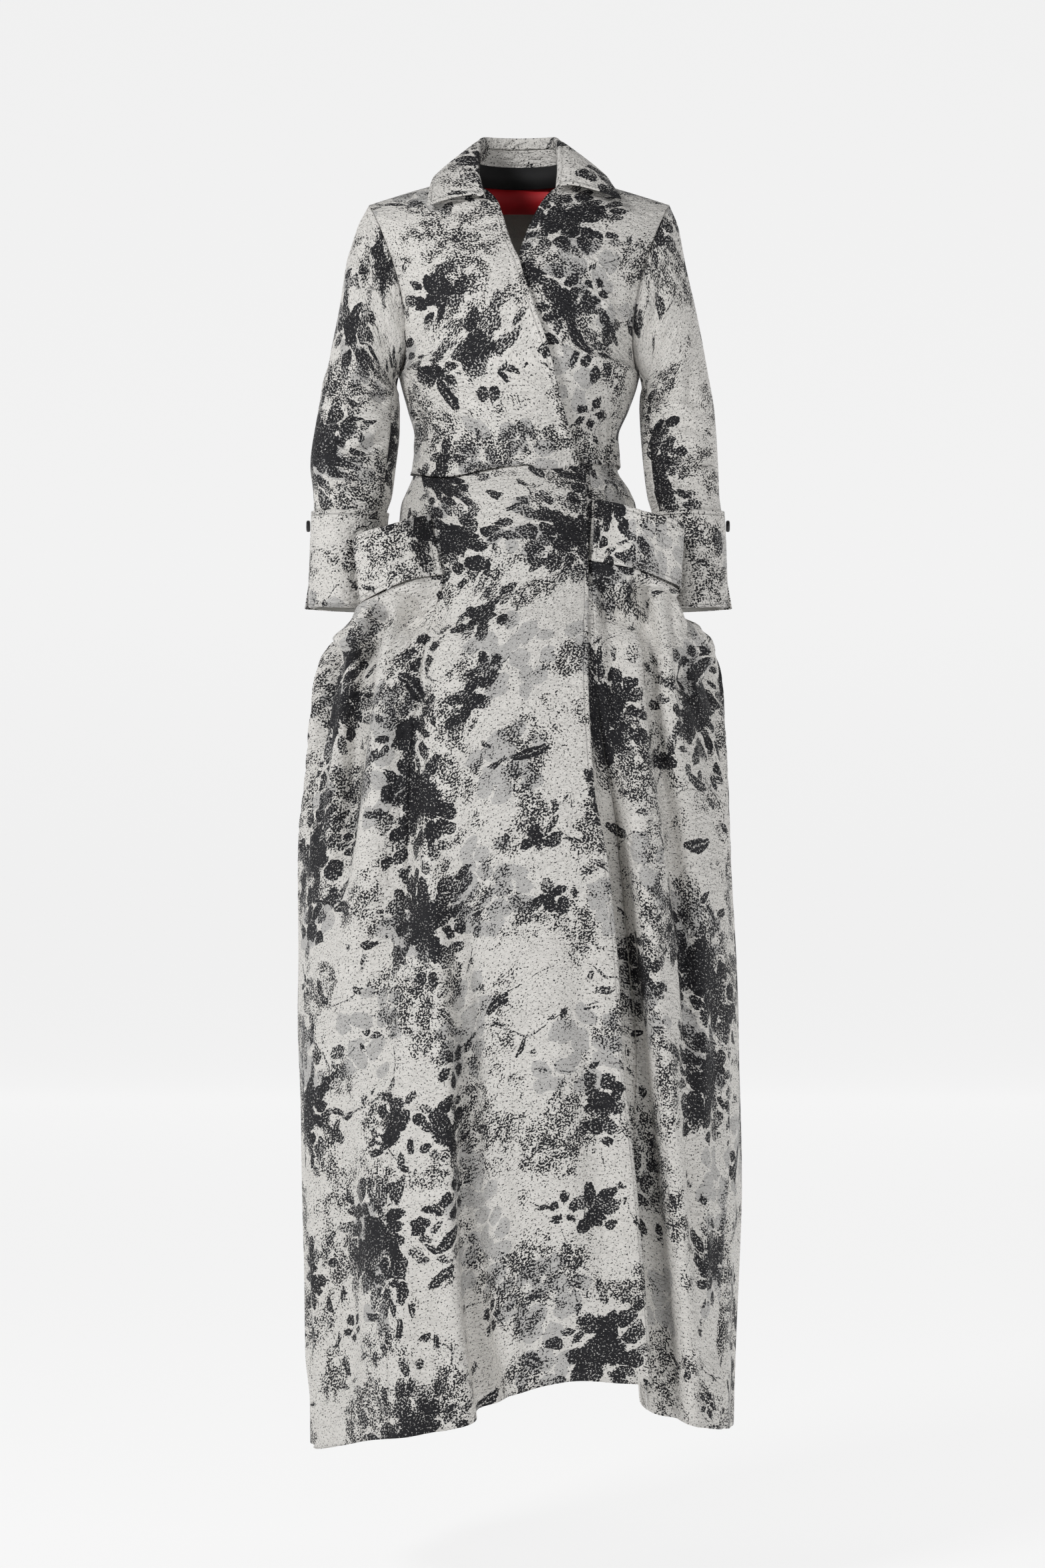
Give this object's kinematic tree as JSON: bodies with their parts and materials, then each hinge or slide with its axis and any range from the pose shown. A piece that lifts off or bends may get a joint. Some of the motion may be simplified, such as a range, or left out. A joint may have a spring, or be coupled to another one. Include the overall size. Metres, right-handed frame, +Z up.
{
  "type": "maxi dress",
  "caption": "Long-sleeved wrap maxi dress with a shirt collar, turned-back cuffs, stand-away pocket bands and a full gathered skirt, shown worn.",
  "frame": {"origin": "middle of the neck between the two shoulder seams' inner ends, where the dress hangs on its wearer or stand", "axes": "+Z up, the garment's front looks along -Y, +X to the right of someone who looks at the front"},
  "size_m": [0.5339, 0.5099, 1.5924],
  "materials": {
    "jacquard": "satin",
    "tape": "matte",
    "label": "satin",
    "button": "semi-gloss"
  },
  "bodies": {
    "root": {"bodice_front_over": "jacquard", "bodice_front_under": "jacquard", "bodice_back": "jacquard", "collar_leaf": "jacquard", "collar_stand": "jacquard", "neck_tape": "tape", "neck_label": "label", "sleeve_front_left": "jacquard", "sleeve_front_right": "jacquard", "sleeve_back_left": "jacquard", "sleeve_back_right": "jacquard", "cuff_left": "jacquard", "cuff_right": "jacquard", "button_left": "button", "button_right": "button", "skirt_front_over": "jacquard", "skirt_front_under": "jacquard", "skirt_back_left": "jacquard", "skirt_back_right": "jacquard", "skirt_side_left": "jacquard", "skirt_side_right": "jacquard", "hip_panel_left": "jacquard", "hip_panel_right": "jacquard", "pocket_band_left": "jacquard", "pocket_band_right": "jacquard"}
  },
  "joints": []
}
